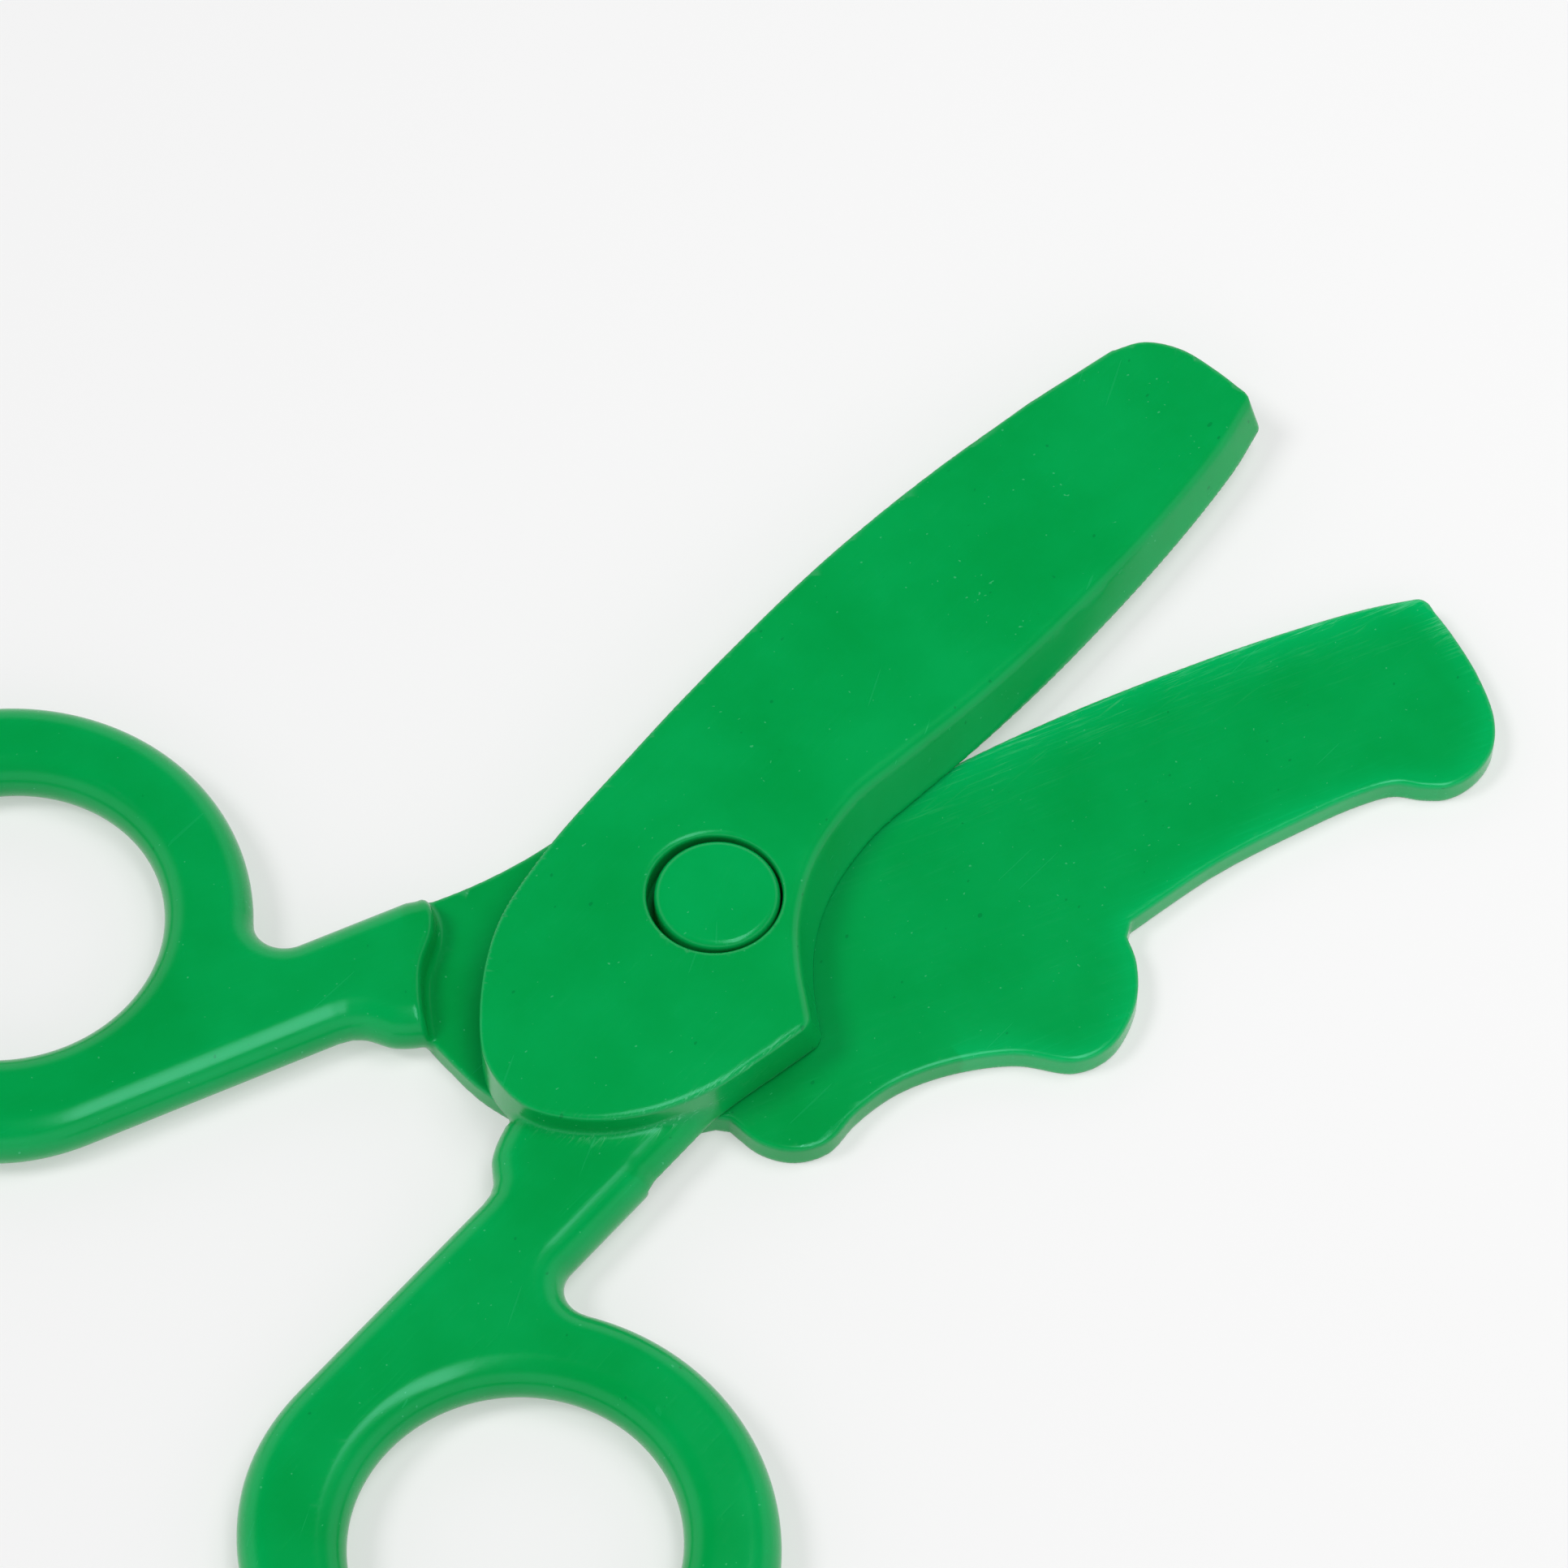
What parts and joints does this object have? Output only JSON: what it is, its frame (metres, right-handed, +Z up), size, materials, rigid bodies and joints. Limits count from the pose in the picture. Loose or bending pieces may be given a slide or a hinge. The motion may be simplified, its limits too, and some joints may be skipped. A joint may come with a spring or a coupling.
{
  "type": "craft scissors",
  "caption": "Moulded plastic craft scissors: plain and lobed blades crossing at a round button pivot, with round finger loops.",
  "frame": {"origin": "on the pivot axis, in the plane that the scissors lie on", "axes": "+X forward along the centreline between the blades, +Y towards the front (upper) blade, +Z up out of the button head"},
  "size_m": [0.1311, 0.1096, 0.0071],
  "materials": {
    "front_plastic": "satin-gloss moulded green plastic with fine scratches",
    "rear_plastic": "satin-gloss moulded green plastic with fine scratches",
    "pivot_plastic": "satin-gloss moulded green plastic"
  },
  "bodies": {
    "rear": {"rear_half": "rear_plastic", "pivot_cap": "pivot_plastic", "pivot_pin": "pivot_plastic"},
    "front": {"front_half": "front_plastic"}
  },
  "joints": [
    {"name": "pivot", "type": "hinge", "parent": "rear", "child": "front", "pos_m": [0, 0, 0], "axis": [0, 0, 1], "range_deg": [-23, 70]}
  ]
}
